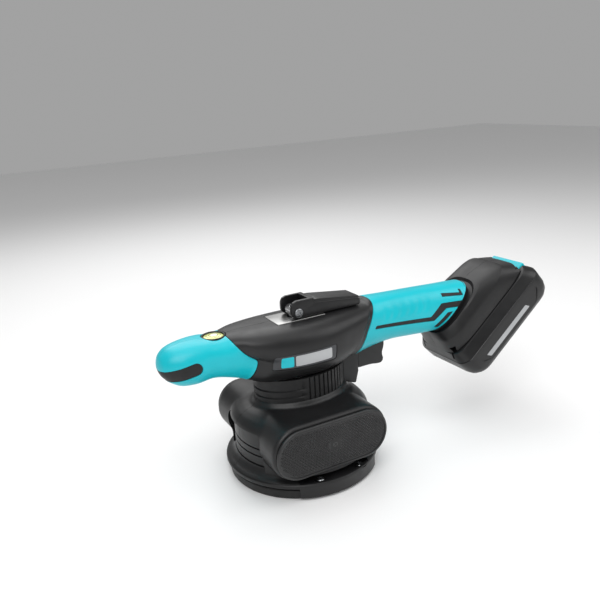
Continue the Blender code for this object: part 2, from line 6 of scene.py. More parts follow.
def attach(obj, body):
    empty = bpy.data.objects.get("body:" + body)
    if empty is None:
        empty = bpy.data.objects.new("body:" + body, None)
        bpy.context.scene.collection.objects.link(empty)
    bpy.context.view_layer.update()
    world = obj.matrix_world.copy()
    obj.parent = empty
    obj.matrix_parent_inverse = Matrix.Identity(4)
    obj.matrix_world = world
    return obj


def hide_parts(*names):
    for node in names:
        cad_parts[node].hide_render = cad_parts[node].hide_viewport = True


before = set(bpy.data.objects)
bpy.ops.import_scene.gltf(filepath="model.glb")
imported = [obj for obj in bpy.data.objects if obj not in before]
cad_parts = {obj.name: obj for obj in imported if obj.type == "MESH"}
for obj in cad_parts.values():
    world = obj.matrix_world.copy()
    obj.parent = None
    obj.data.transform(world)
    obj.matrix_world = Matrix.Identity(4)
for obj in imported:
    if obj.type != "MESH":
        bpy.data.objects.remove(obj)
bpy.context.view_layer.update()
mm = 0.001    # lengths below are in millimetres, X along the handle, Z up


# basic steps

def clearSelection():
    bpy.ops.object.select_all(action='DESELECT')


def pick(obj):
    clearSelection()
    obj.select_set(True)
    bpy.context.view_layer.objects.active = obj


def settle(obj):
    pick(obj)
    bpy.ops.object.transform_apply(location=True, rotation=True, scale=True)


def tidyMesh(obj, fill=False):    # weld, close and face outwards
    pick(obj)
    bpy.ops.object.mode_set(mode='EDIT')
    bpy.ops.mesh.select_all(action='SELECT')
    bpy.ops.mesh.remove_doubles(threshold=0.002 * mm)
    if fill:
        bpy.ops.mesh.fill_holes(sides=0)
        bpy.ops.mesh.select_all(action='SELECT')
    bpy.ops.mesh.normals_make_consistent(inside=False)
    bpy.ops.object.mode_set(mode='OBJECT')


def moveVertices(obj, spots):
    flat = [value * mm for spot in spots for value in spot]
    obj.data.vertices.foreach_set("co", flat)
    obj.data.update()


def gridSkin(name, rings, loop=False):    # a skin through closed rings of points
    rows = [list(ring) + [ring[0]] for ring in rings]
    if loop:
        rows.append(rows[0])
    clearSelection()
    bpy.ops.mesh.primitive_grid_add(x_subdivisions=len(rows[0]) - 1, y_subdivisions=len(rows) - 1,
                                    size=mm)
    obj = bpy.context.object
    obj.name = name
    moveVertices(obj, [spot for row in rows for spot in row])
    tidyMesh(obj, fill=not loop)
    return obj


def pushOutline(name, outline, low, high, along='Y'):    # outline is (x, z) along Y or (x, y) along Z
    clearSelection()
    bpy.ops.mesh.primitive_circle_add(vertices=len(outline), radius=mm, fill_type='NGON')
    obj = bpy.context.object
    obj.name = name
    moveVertices(obj, [(a, low, b) if along == 'Y' else (a, b, low) for a, b in outline])
    pick(obj)
    bpy.ops.object.mode_set(mode='EDIT')
    bpy.ops.mesh.select_all(action='SELECT')
    step = (high - low) * mm
    bpy.ops.mesh.extrude_region_move(TRANSFORM_OT_translate={
        "value": (0, step, 0) if along == 'Y' else (0, 0, step)})
    bpy.ops.object.mode_set(mode='OBJECT')
    tidyMesh(obj)
    return obj


def turn(name, profile, sides=96, at=(0, 0, 0), towards='Z'):    # profile is closed (r, z)
    clearSelection()
    bpy.ops.mesh.primitive_circle_add(vertices=len(profile), radius=mm, fill_type='NOTHING')
    obj = bpy.context.object
    obj.name = name
    moveVertices(obj, [(r, 0, z) for r, z in profile])
    pick(obj)
    bpy.ops.object.mode_set(mode='EDIT')
    bpy.ops.mesh.select_all(action='SELECT')
    bpy.ops.mesh.spin(steps=sides, angle=2 * pi, center=(0, 0, 0), axis=(0, 0, 1))
    bpy.ops.object.mode_set(mode='OBJECT')
    turned = {'Z': Matrix.Identity(4), 'Y': Matrix.Rotation(-pi / 2, 4, 'X'),
              'X': Matrix.Rotation(pi / 2, 4, 'Y')}[towards]
    obj.data.transform(Matrix.Translation(Vector(at) * mm) @ turned)
    tidyMesh(obj)
    return obj


def block(name, low, high, rounding=0.0, segments=3):
    clearSelection()
    bpy.ops.mesh.primitive_cube_add(size=mm)
    obj = bpy.context.object
    obj.name = name
    size = [b - a for a, b in zip(low, high)]
    middle = [(a + b) / 2 * mm for a, b in zip(low, high)]
    obj.data.transform(Matrix.Translation(middle) @ Matrix.Diagonal((*size, 1)))
    if rounding:
        roundEdges(obj, rounding, segments)
    return obj


def roundEdges(obj, width, segments=3, angle=30):
    step = obj.modifiers.new("rounding", 'BEVEL')
    step.width = width * mm
    step.segments = segments
    step.limit_method = 'ANGLE'
    step.angle_limit = radians(angle)
    step.miter_outer = 'MITER_ARC'
    pick(obj)
    bpy.ops.object.modifier_apply(modifier=step.name)


def copyOf(obj, name):
    twin = obj.copy()
    twin.data = obj.data.copy()
    twin.name = name
    bpy.context.scene.collection.objects.link(twin)
    return twin


def carve(obj, cutter, operation='DIFFERENCE'):
    whole = obj.data.copy()
    for nudge in (0.0, 0.011, -0.017, 0.031):    # a cut that comes out empty is made again, a hair aside
        cutter.data.transform(Matrix.Translation((nudge * mm, 0.7 * nudge * mm, 1.3 * nudge * mm)))
        step = obj.modifiers.new("carve", 'BOOLEAN')
        step.solver = 'EXACT'
        step.operation = operation
        step.object = cutter
        pick(obj)
        bpy.ops.object.modifier_apply(modifier=step.name)
        if len(obj.data.vertices):
            break
        print("cut again:", obj.name)
        obj.data = whole.copy()
    bpy.data.objects.remove(cutter, do_unlink=True)


def scatter(name, source, spots):    # one mesh holding a copy of the source at each spot
    corners = [v.co.copy() for v in source.data.vertices]
    faces = [tuple(p.vertices) for p in source.data.polygons]
    points, loops = [], []
    for spot in spots:
        start = len(points)
        shift = Vector(spot) * mm
        points += [c + shift for c in corners]
        loops += [tuple(i + start for i in face) for face in faces]
    mesh = bpy.data.meshes.new(name)
    mesh.from_pydata(points, [], loops)
    obj = bpy.data.objects.new(name, mesh)
    bpy.context.scene.collection.objects.link(obj)
    return obj


def joinInto(obj, other):
    pick(obj)
    other.select_set(True)
    bpy.ops.object.join()


def finish(obj, body, material, nodes=(), smooth=32):
    obj.data.materials.clear()
    obj.data.materials.append(material)
    pick(obj)
    bpy.ops.object.shade_smooth_by_angle(angle=radians(smooth))
    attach(obj, body)
    if nodes:
        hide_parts(*nodes)


def splitHalves(obj, label, body, material, nodeStem, smooth=32):    # front half at -Y, back half at +Y
    for word, low, high in (("front", -90, -0.12), ("back", 0.12, 90)):
        half = copyOf(obj, label + word.capitalize())
        carve(half, block("halfCutter", (-200, low, -20), (300, high, 220)), 'INTERSECT')
        finish(half, body, material, [nodeStem + "_" + word], smooth)
    bpy.data.objects.remove(obj, do_unlink=True)


# materials

def surface(name, look):
    material = bpy.data.materials.new(name)
    material.use_nodes = True
    nodes, links = material.node_tree.nodes, material.node_tree.links
    shader = nodes["Principled BSDF"]
    shader.inputs["Metallic"].default_value = look.get("metal", 0.0)
    shader.inputs["Specular IOR Level"].default_value = look.get("shine", 0.5)
    shader.inputs["Coat Weight"].default_value = look.get("coat", 0.0)
    shader.inputs["Coat Roughness"].default_value = look.get("coatRough", 0.2)
    shader.inputs["Anisotropic"].default_value = look.get("brushed", 0.0)
    shader.inputs["Sheen Weight"].default_value = look.get("dust", 0.0)
    coords = nodes.new("ShaderNodeTexCoord")
    mapping = nodes.new("ShaderNodeMapping")
    mapping.inputs["Scale"].default_value = look.get("stretch", (1, 1, 1))
    links.new(coords.outputs["Object"], mapping.inputs["Vector"])

    def noise(scale, detail, vector):
        texture = nodes.new("ShaderNodeTexNoise")
        texture.inputs["Scale"].default_value = scale
        texture.inputs["Detail"].default_value = detail
        links.new(vector, texture.inputs["Vector"])
        return texture.outputs["Fac"]

    def remap(value, low, high, toLow, toHigh):
        node = nodes.new("ShaderNodeMapRange")
        for socket, number in zip(("From Min", "From Max", "To Min", "To Max"), (low, high, toLow, toHigh)):
            node.inputs[socket].default_value = number
        links.new(value, node.inputs["Value"])
        return node.outputs["Result"]

    grain = noise(look["grain"], 3, mapping.outputs["Vector"])
    cloud = noise(30, 4, coords.outputs["Object"])
    mix = nodes.new("ShaderNodeMix")
    mix.data_type = 'RGBA'
    mix.inputs[6].default_value = (*look["colour"], 1)
    mix.inputs[7].default_value = (*look["tint"], 1)
    links.new(remap(cloud, 0.35, 0.68, 0, 1), mix.inputs[0])
    links.new(mix.outputs[2], shader.inputs["Base Color"])
    low, high = look["rough"]
    patches = noise(110, 5, mapping.outputs["Vector"])
    links.new(remap(patches, 0.3, 0.7, low, high), shader.inputs["Roughness"])
    bump = nodes.new("ShaderNodeBump")
    bump.inputs["Strength"].default_value = look["bump"]
    bump.inputs["Distance"].default_value = look["depth"] * mm
    links.new(grain, bump.inputs["Height"])
    links.new(bump.outputs["Normal"], shader.inputs["Normal"])
    return material


looks = {
    "blackShell": {"colour": (0.0065, 0.0065, 0.007), "tint": (0.0095, 0.0095, 0.010),
                   "rough": (0.34, 0.44), "shine": 0.4,
                   "grain": 1700, "bump": 0.35, "depth": 0.05},
    "blackControl": {"colour": (0.006, 0.006, 0.0065), "tint": (0.009, 0.009, 0.0095),
                     "rough": (0.28, 0.40), "shine": 0.42,
                     "grain": 2200, "bump": 0.3, "depth": 0.04},
    "packShell": {"colour": (0.006, 0.006, 0.0065), "tint": (0.009, 0.009, 0.0095),
                  "rough": (0.28, 0.38), "shine": 0.42,
                  "grain": 1500, "bump": 0.3, "depth": 0.04},
    "tealShell": {"colour": (0.0, 0.45, 0.53), "tint": (0.0, 0.49, 0.57),
                  "rough": (0.30, 0.40), "shine": 0.4,
                  "grain": 1500, "bump": 0.22, "depth": 0.04, "coat": 0.08, "coatRough": 0.25},
    "softBlack": {"colour": (0.0075, 0.0075, 0.008), "tint": (0.013, 0.013, 0.0135),
                  "rough": (0.48, 0.66), "shine": 0.4,
                  "grain": 1400, "bump": 0.5, "depth": 0.07},
    "treadBlack": {"colour": (0.011, 0.011, 0.0115), "tint": (0.016, 0.016, 0.0165),
                   "rough": (0.36, 0.5), "shine": 0.5, "grain": 1400, "bump": 0.4, "depth": 0.05},
    "suctionRubber": {"colour": (0.008, 0.008, 0.008), "tint": (0.013, 0.013, 0.013),
                      "rough": (0.5, 0.72), "shine": 0.4,
                      "grain": 900, "bump": 0.4, "depth": 0.07, "dust": 0.05},
    "plateSteel": {"colour": (0.36, 0.36, 0.355), "tint": (0.46, 0.46, 0.45), "rough": (0.26, 0.42),
                   "metal": 1.0, "stretch": (0.04, 1, 1), "grain": 2600, "bump": 0.35, "depth": 0.03,
                   "brushed": 0.4},
    "rodSteel": {"colour": (0.52, 0.53, 0.54), "tint": (0.62, 0.62, 0.63), "rough": (0.2, 0.34),
                 "metal": 1.0, "stretch": (1, 1, 4), "grain": 1200, "bump": 0.2, "depth": 0.02},
    "screwChrome": {"colour": (0.30, 0.31, 0.32), "tint": (0.24, 0.25, 0.26), "rough": (0.24, 0.36),
                    "metal": 1.0, "grain": 900, "bump": 0.1, "depth": 0.02},
    "screwBlack": {"colour": (0.05, 0.05, 0.052), "tint": (0.09, 0.09, 0.09), "rough": (0.25, 0.4),
                   "metal": 1.0, "grain": 1200, "bump": 0.2, "depth": 0.02},
    "springSteel": {"colour": (0.48, 0.49, 0.50), "tint": (0.58, 0.58, 0.58), "rough": (0.22, 0.36),
                    "metal": 1.0, "grain": 1500, "bump": 0.2, "depth": 0.02},
    "motorSteel": {"colour": (0.40, 0.41, 0.42), "tint": (0.5, 0.5, 0.48), "rough": (0.3, 0.45),
                   "metal": 1.0, "grain": 1100, "bump": 0.2, "depth": 0.03},
    "brass": {"colour": (0.76, 0.54, 0.22), "tint": (0.66, 0.45, 0.18), "rough": (0.22, 0.36),
              "metal": 1.0, "stretch": (1, 6, 1), "grain": 900, "bump": 0.2, "depth": 0.02},
    "vialBody": {"colour": (0.66, 0.70, 0.22), "tint": (0.72, 0.76, 0.30), "rough": (0.08, 0.14),
                 "grain": 300, "bump": 0.02, "depth": 0.01, "coat": 0.6, "coatRough": 0.05},
    "vialBubble": {"colour": (0.86, 0.88, 0.62), "tint": (0.90, 0.92, 0.70), "rough": (0.05, 0.1),
                   "grain": 300, "bump": 0.02, "depth": 0.01, "coat": 0.6, "coatRough": 0.05},
    "board": {"colour": (0.02, 0.15, 0.07), "tint": (0.03, 0.20, 0.09), "rough": (0.3, 0.5),
              "grain": 1500, "bump": 0.4, "depth": 0.05},
    "heatsink": {"colour": (0.68, 0.69, 0.70), "tint": (0.75, 0.75, 0.75), "rough": (0.3, 0.45),
                 "metal": 1.0, "stretch": (0.1, 1, 1), "grain": 1800, "bump": 0.3, "depth": 0.03},
    "cellWrap": {"colour": (0.04, 0.20, 0.40), "tint": (0.05, 0.24, 0.46), "rough": (0.18, 0.28),
                 "grain": 700, "bump": 0.1, "depth": 0.02},
    "labelGrey": {"colour": (0.36, 0.37, 0.38), "tint": (0.42, 0.43, 0.44), "rough": (0.3, 0.4),
                  "grain": 1800, "bump": 0.15, "depth": 0.02},
    "labelDark": {"colour": (0.030, 0.032, 0.036), "tint": (0.036, 0.038, 0.043), "rough": (0.28, 0.36),
                  "grain": 2400, "bump": 0.1, "depth": 0.02},
}
finishes = {name: surface(name, look) for name, look in looks.items()}
print("materials ready")


# handle skin: x, z of each section's centre, half height, half width, lean above and below, boxiness
handle = {
    "stations": [(-120.2, 119.5, 0.6, 0.8, 0, 0, 2.2), (-119.5, 119.5, 4.0, 5.0, 0, 0, 2.3),
                 (-117.2, 119.5, 9.0, 10.0, 0, 0, 2.3), (-112.0, 119.0, 13.5, 14.5, 0, 0, 2.4),
                 (-104.0, 118.0, 16.8, 18.0, 0, 0, 2.5), (-92.0, 118.0, 17.9, 19.5, 0, 0, 2.8),
                 (-79.0, 118.5, 16.9, 19.7, -0.15, 0, 3.2), (-62.0, 116.6, 17.9, 20.2, -0.62, 0.2, 3.3),
                 (-42.4, 114.0, 20.9, 21.7, -0.93, 0.38, 3.3), (-33.0, 111.5, 24.2, 28.2, -0.74, 0.15, 3.6),
                 (-20.0, 110.5, 25.2, 33.5, -0.4, 0, 3.9), (0.0, 110.0, 25.6, 36.0, -0.05, 0, 3.9),
                 (20.0, 110.2, 25.4, 34.5, 0.2, 0.15, 3.6), (38.0, 111.0, 24.6, 29.5, 0.4, 0.3, 3.3),
                 (52.0, 112.0, 23.6, 24.5, 0.55, 0.5, 3.0), (60.8, 113.0, 24.5, 20.8, 0.50, 0.36, 2.7),
                 (84.0, 114.4, 22.2, 18.6, 0.60, 0.52, 2.5), (108.0, 114.5, 21.0, 17.6, 0.7, 0.7, 2.5),
                 (130.0, 113.2, 21.0, 17.4, 0.8, 0.8, 2.5), (150.0, 112.0, 21.0, 18.0, 0.95, 0.95, 2.5),
                 (161.0, 111.5, 20.6, 19.0, 1.0, 1.0, 2.5)],
    "insertEnd": 6, "palmEnd": 8, "bodyEnd": 15,
    "between": 8,         # rows between two stations
    "around": 112,
    "lowPower": 2.25,
    "wall": 2.3,
    "gap": 0.2,           # half of the gap between neighbouring shells
    # place, softness and curve of the point at the palm shell's rear
    "tipLift": 0.5, "tipRounding": 3.0, "tipReach": 7.1, "tipBend": 0.45, "tipOffset": 0.3, "tipLevel": 0.582,
    "grooveDepth": 0.9, "stripSink": 0.25,    # of the dark strips let into the grip
    # shallow ridges across both sides of the trigger grip
    "ridgePitch": 9.4, "ridgeDepth": 0.9, "ridgeStart": 78.0, "ridgeEnd": 134.4, "ridgeHeight": 11.0,
}


levelSpot = (-72, 0, 0)    # middle of the bubble level, above the palm grip


def smoothRows(stations, between):    # Catmull-Rom through the stations
    rows = []
    last = len(stations) - 1
    for i in range(last):
        four = [stations[max(i - 1, 0)], stations[i], stations[i + 1], stations[min(i + 2, last)]]
        for k in range(between):
            t = k / between
            rows.append([0.5 * (2 * b + (c - a) * t + (2 * a - 5 * b + 4 * c - d) * t * t
                                + (3 * b - a - 3 * c + d) * t ** 3) for a, b, c, d in zip(*four)])
    rows.append(list(stations[-1]))
    return rows


def evenRing(topPower, lowPower, around):    # unit section with points spread evenly, from the top round +Y
    dense = []
    for i in range(241):
        angle = pi / 2 - pi * i / 240
        power = topPower if angle >= 0 else lowPower
        dense.append((abs(cos(angle)) ** (2 / power), copysign(abs(sin(angle)) ** (2 / power), angle)))
    walked = [0.0]
    for a, b in zip(dense, dense[1:]):
        walked.append(walked[-1] + hypot(b[0] - a[0], b[1] - a[1]))
    half, spots, j = around // 2, [], 0
    for i in range(half + 1):
        goal = walked[-1] * i / half
        while j < 239 and walked[j + 1] < goal:
            j += 1
        share = (goal - walked[j]) / max(walked[j + 1] - walked[j], 1e-9)
        spots.append(tuple(a + (b - a) * share for a, b in zip(dense[j], dense[j + 1])))
    spots[0], spots[-1] = (0.0, 1.0), (0.0, -1.0)
    return spots + [(-a, b) for a, b in spots[-2:0:-1]]


def positivePart(value):
    return 0.5 * (value + sqrt(value * value + handle["tipRounding"]))


def leanShift(climb, up, low):    # how far a section's point moves along X for its height
    if up >= 0:
        return up * positivePart(climb) - low * positivePart(-climb)
    above = positivePart(climb - handle["tipLift"]) + handle["tipOffset"]
    return (up * handle["tipReach"] * (above ** handle["tipBend"] - handle["tipLevel"])
            - low * positivePart(handle["tipLift"] - climb))


def handleRing(row, grow=0.0, shift=0.0, ridges=False):
    x, z, high, wide, up, low, power = row
    high, wide = max(high + grow, 0.05), max(wide + grow, 0.05)
    ring = []
    for across, rise in evenRing(power, handle["lowPower"], handle["around"]):
        side, climb = across * wide, rise * high
        px = x + shift + leanShift(climb, up, low)
        if ridges and handle["ridgeStart"] < px < handle["ridgeEnd"]:
            off = climb - handle["ridgeHeight"]
            wave = sin(pi * (px - handle["ridgeStart"] + 0.05 * off * off) / handle["ridgePitch"])
            window = max(0.0, 1 - (off / 9.0) ** 2) * min(1, (px - handle["ridgeStart"]) / 4,
                                                          (handle["ridgeEnd"] - px) / 4)
            if abs(across) > 0.5:
                side -= copysign(handle["ridgeDepth"] * wave * wave * window, across)
        ring.append((px, side, z + climb))
    return ring


def handleShell(name, first, last, nose=False, ridges=False):    # hollow shell with rolled rims
    n = handle["between"] * (2 if ridges else 1)
    rows = smoothRows(handle["stations"], n)[first * n:last * n + 1]
    gap, wall = handle["gap"], handle["wall"]
    outer = [handleRing(row, 0, 0, ridges) for row in rows]
    inner = [handleRing(row, -wall) for row in rows[::-1]]
    if not nose:
        outer[0] = handleRing(rows[0], -0.35, gap)
        outer.insert(1, handleRing(rows[0], -0.08, gap + 0.12))
        outer.insert(2, handleRing(rows[0], 0, gap + 0.45))
        inner[-1] = handleRing(rows[0], -wall, gap)
    else:
        inner = inner[:-2]
    if ridges:
        del outer[-2]    # the rolled rim stands in its place
    outer[-1] = handleRing(rows[-1], 0, -gap - 0.45, ridges)
    outer += [handleRing(rows[-1], -0.08, -gap - 0.12), handleRing(rows[-1], -0.35, -gap)]
    inner[0] = handleRing(rows[-1], -wall, -gap)
    return gridSkin(name, outer + inner, loop=not nose)


def handleCore(name, first, last, grow):    # solid inside of the skin, used to cut to an even depth
    rows = smoothRows(handle["stations"], handle["between"])
    n = handle["between"]
    return gridSkin(name, [handleRing(row, grow) for row in rows[max(first * n - 6, 0):last * n + 7]])


def shrunk(outline, by):    # outline moved inwards by the given distance
    area = sum(a[0] * b[1] - b[0] * a[1] for a, b in zip(outline, outline[1:] + outline[:1]))
    turnSide = 1 if area > 0 else -1
    moved = []
    for i, spot in enumerate(outline):
        before, after = Vector(outline[i - 1]), Vector(outline[(i + 1) % len(outline)])
        here = Vector(spot)
        a, b = (here - before).normalized(), (after - here).normalized()
        na, nb = Vector((-a.y, a.x)) * turnSide, Vector((-b.y, b.x)) * turnSide
        away = na + nb
        away = away / max(away.length_squared / 2, 0.35)
        moved.append(tuple(here + away * by))
    return moved


def softCorners(outline, radius, steps=4):    # each corner replaced by a short arc
    made = []
    for i, spot in enumerate(outline):
        here = Vector(spot)
        a, b = Vector(outline[i - 1]) - here, Vector(outline[(i + 1) % len(outline)]) - here
        cut = min(radius, a.length * 0.45, b.length * 0.45)
        p, q = here + a.normalized() * cut, here + b.normalized() * cut
        for k in range(steps + 1):
            t = k / steps
            made.append(tuple(p * (1 - t) ** 2 + here * 2 * t * (1 - t) + q * t * t))
    return made


def inlay(shell, first, last, outline, name, material, slot):    # soft strip in a groove, on both sides
    groove = softCorners(outline, 0.8, 3)
    filling = softCorners(shrunk(outline, 0.35), 0.5, 2)
    depth, sink = handle["grooveDepth"], handle["stripSink"]
    for side in (-1, 1):
        low, high = sorted((side * 4.0, side * 45.0))
        cutter = pushOutline("grooveCutter", groove, low, high)
        carve(cutter, handleCore("core", first, last, -depth))
        carve(shell, cutter)
        strip = pushOutline(name + ("Front" if side < 0 else "Back"), filling, low, high)
        carve(strip, handleCore("core", first, last, -sink), 'INTERSECT')
        carve(strip, handleCore("core", first, last, -depth - 0.3))
        finish(strip, "housing", material)


# palm grip, body and trigger grip

insertSlot = {"x": -95.0, "z": 117.6, "dip": radians(12.0), "radius": 5.0}
coverCut = ((36.0, -11.3, 60), (57.0, 11.3, 98))    # low and high corners of the switch cover's opening


def levelCutter():
    return turn("levelCutter", [(0, 130.6), (10.3, 130.6), (10.3, 145), (0, 145)], 64, levelSpot)


def slotOutline(grow):
    r = insertSlot["radius"] + grow
    c, s = cos(insertSlot["dip"]), sin(insertSlot["dip"])
    spots = [(-40, r), (-40, -r)] + [(r * cos(a), r * sin(a)) for a in
                                     (-pi / 2 + pi * i / 14 for i in range(15))]
    return [(insertSlot["x"] + x * c - z * s, insertSlot["z"] + x * s + z * c) for x, z in spots]


def palmGrip():
    palm = handleShell("palmWork", 0, handle["palmEnd"], nose=True)
    cutter = pushOutline("slotCutter", slotOutline(0.35), -40, 40)
    carve(cutter, handleCore("core", 0, handle["insertEnd"], -1.3))
    carve(palm, cutter)
    carve(palm, levelCutter())
    splitHalves(palm, "palmShell", "housing", finishes["tealShell"], "palm_shell")
    insert = pushOutline("palmInsert", slotOutline(0), -40, 40)
    carve(insert, handleCore("core", 0, handle["insertEnd"], -0.35), 'INTERSECT')
    carve(insert, handleCore("core", 0, handle["insertEnd"], -1.7))
    roundEdges(insert, 0.25, 2, 40)
    finish(insert, "housing", finishes["softBlack"], ["palm_insert"])
    print("palm grip done")


bodyLabel = {
    "corners": [(-35.5, 103.8), (20.8, 102.8), (21.6, 116.2), (-34.2, 116.2)], "depth": 0.6,
    "low": 105.4, "high": 114.4,
    # start, end, finish and slot of each plain block on the label
    "blocks": {"badge": (-28.6, -18.6, "tealShell", "shell_teal"),
               "nameBar": (-17.0, 16.2, "labelGrey", "control_black")},
}


def bodyShell(neckCutter):
    body = handleShell("bodyWork", handle["palmEnd"], handle["bodyEnd"])
    for cutter in (copyOf(neckCutter, "neckCut"),
                   block("coverCut", *coverCut),
                   block("plateCut", (-21, -13.5, 133.9), (24.5, 13.5, 150)),
                   turn("rodCut", [(0, 100), (5.2, 100), (5.2, 150), (0, 150)], 48), levelCutter()):
        carve(body, cutter)
    frameLine = softCorners(bodyLabel["corners"], 2.2, 5)
    ends = (handle["palmEnd"], handle["bodyEnd"])
    for side, word in ((-1, "Front"), (1, "Back")):
        low, high = sorted((side * 20.0, side * 45.0))
        cutter = pushOutline("labelCutter", frameLine, low, high)
        carve(cutter, handleCore("core", *ends, -bodyLabel["depth"]))
        carve(body, cutter)
        plate = pushOutline("bodyLabel" + word, shrunk(frameLine, 0.5), low, high)
        carve(plate, handleCore("core", *ends, -0.35), 'INTERSECT')
        carve(plate, handleCore("core", *ends, -1.0))
        finish(plate, "housing", finishes["labelDark"])
        bottom, top = bodyLabel["low"], bodyLabel["high"]
        for name, (a, b, look, slot) in bodyLabel["blocks"].items():
            corners = [(a, bottom), (b, bottom), (b, top), (a, top)]
            bar = pushOutline(name + word, softCorners(corners, 1.2, 4), low, high)
            carve(bar, handleCore("core", *ends, -0.22), 'INTERSECT')
            carve(bar, handleCore("core", *ends, -0.8))
            finish(bar, "housing", finishes[look])
    splitHalves(body, "bodyShell", "housing", finishes["blackShell"], "body_shell")
    print("body done")


gripBands = {
    "gripBand": [(70.8, 116.1), (132.7, 110.1), (145.0, 120.6), (185.0, 118.2), (185.0, 112.4),
                 (150.6, 114.8), (136.8, 105.2), (69.1, 113.1)],
    "gripHook": [(147.0, 129.1), (147.4, 125.8), (171.2, 123.2), (170.4, 128.9), (167.8, 129.1),
                 (168.1, 126.3)],
    "gripSlash": [(137.5, 98.7), (143.0, 96.8), (158.0, 110.8), (151.5, 110.8)],
}


def triggerGrip(neckCutter):
    grip = handleShell("gripWork", handle["bodyEnd"], len(handle["stations"]) - 1, ridges=True)
    for cutter in (copyOf(neckCutter, "neckCut"),
                   block("coverCut", *coverCut),
                   block("triggerCut", (56.9, -8.4, 60), (87.2, 8.4, 101))):
        carve(grip, cutter)
    ends = (handle["bodyEnd"], len(handle["stations"]) - 1)
    for name, outline in gripBands.items():
        inlay(grip, *ends, outline, name, finishes["softBlack"], "soft_black")
    splitHalves(grip, "gripShell", "housing", finishes["tealShell"], "grip_shell")
    print("trigger grip done")


# battery foot and pack: u runs up along the pack at 40 degrees, v out from the handle

tilt = radians(40.0)


def packSpot(u, y, v):
    c, s = cos(tilt), sin(tilt)
    return (c * u + s * v, y, s * u - c * v)


def packFrame():    # matrix that lays a part made in (u, y, v) into the tool
    c, s = cos(tilt), sin(tilt)
    return Matrix(((c, 0, s, 0), (0, 1, 0, 0), (s, 0, -c, 0), (0, 0, 0, 1)))


def layInPack(obj):
    obj.data.transform(packFrame())
    tidyMesh(obj)
    return obj


foot = {
    # low u, low v, high u, high v, half width, boxiness
    "rows": [(167.8, 19.0, 223.2, 14.2, 17.9, 2.5), (167.5, 25.2, 223.5, 20.6, 18.3, 2.5),
             (166.9, 25.4, 227.0, 20.8, 21.4, 2.6), (166.4, 24.2, 228.6, 19.4, 22.3, 2.7),
             (166.4, 23.6, 229.4, 18.6, 22.9, 2.8), (166.0, 25.4, 236.0, 19.2, 24.2, 3.2),
             (165.2, 29.6, 256.8, 26.0, 27.2, 4.4), (164.9, 31.0, 259.4, 27.6, 27.8, 4.7),
             (164.6, 33.4, 261.6, 30.6, 28.2, 4.9), (162.4, 44.6, 274.6, 44.2, 29.0, 5.4),
             (162.2, 45.4, 275.2, 45.2, 28.9, 5.4), (162.8, 45.8, 274.6, 45.8, 28.4, 5.4)],
    "inside": [(162.8, 45.8, 274.6, 45.8, 28.4, 5.4), (162.4, 44.6, 274.6, 44.2, 29.0, 5.4),
               (164.6, 34.6, 261.6, 32.4, 28.2, 4.9), (165.6, 31.0, 249.0, 27.4, 25.6, 4.0),
               (166.6, 28.6, 228.0, 24.2, 21.0, 2.8), (167.0, 27.6, 224.5, 23.4, 19.2, 2.5)],
    "around": 112, "wall": 2.3,
}


def footRing(row, grow=0.0):
    lowU, lowV, highU, highV, half, power = row
    ring = []
    for across, rise in evenRing(power, power, foot["around"]):
        t = (rise + 1) / 2
        ring.append(packSpot(lowU - grow + (highU - lowU + 2 * grow) * t, across * (half + grow),
                             lowV + (highV - lowV) * t))
    return ring


def footShell():
    outer = [footRing(row) for row in foot["rows"]]
    inner = [footRing(row, -foot["wall"]) for row in foot["inside"]] + [footRing(foot["rows"][0], -1.4)]
    shell = gridSkin("footWork", outer + inner, loop=True)
    carve(shell, layInPack(block("railCut", (165, -24.6, 39.8), (290, 24.6, 60))))
    splitHalves(shell, "footShell", "housing", finishes["blackShell"], "foot_shell", 16)
    print("foot done")


pack = {
    # v, low u, high u, half width
    "lid": [(46.2, 163.2, 274.4, 29.4), (46.5, 162.6, 275.0, 30.0), (55.2, 160.5, 280.1, 35.2),
            (55.7, 160.3, 280.4, 35.4), (56.0, 160.8, 279.9, 34.9)],
    "case": [(56.3, 160.7, 280.0, 35.0), (56.7, 160.3, 280.4, 35.5), (57.6, 160.2, 280.6, 35.6),
             (72.0, 161.5, 281.0, 35.7), (78.0, 164.0, 279.8, 35.3), (81.4, 166.9, 277.2, 34.4),
             (83.8, 170.4, 274.2, 32.6), (85.1, 174.0, 271.0, 30.4), (85.5, 177.5, 267.5, 28.0)],
    "corner": 12.0, "cornerSteps": 8,
    "side": 35.15,    # floor of the recess on each long side
    "recess": [(176, 60.6), (263, 60.6), (267, 66), (258, 78.4), (188, 78.4), (176, 70)],
    "bar": [(184, 69.0), (246, 69.0), (249, 74.4), (187, 74.4)],
    "endGrooves": (62.0, 67.0, 72.0),
    "latchRibs": [270.6 + 1.5 * i for i in range(5)],
}


def packRing(v, low, high, half):
    r = min(pack["corner"], half)
    ring = []
    for cu, cy, quarter in ((high - r, half - r, 0), (low + r, half - r, 1),
                            (low + r, r - half, 2), (high - r, r - half, 3)):
        for i in range(pack["cornerSteps"] + 1):
            angle = (quarter + i / pack["cornerSteps"]) * pi / 2
            ring.append((cu + r * cos(angle), cy + r * sin(angle), v))
    return ring


def packSolid(name, rows):
    return gridSkin(name, [packRing(*row) for row in rows])


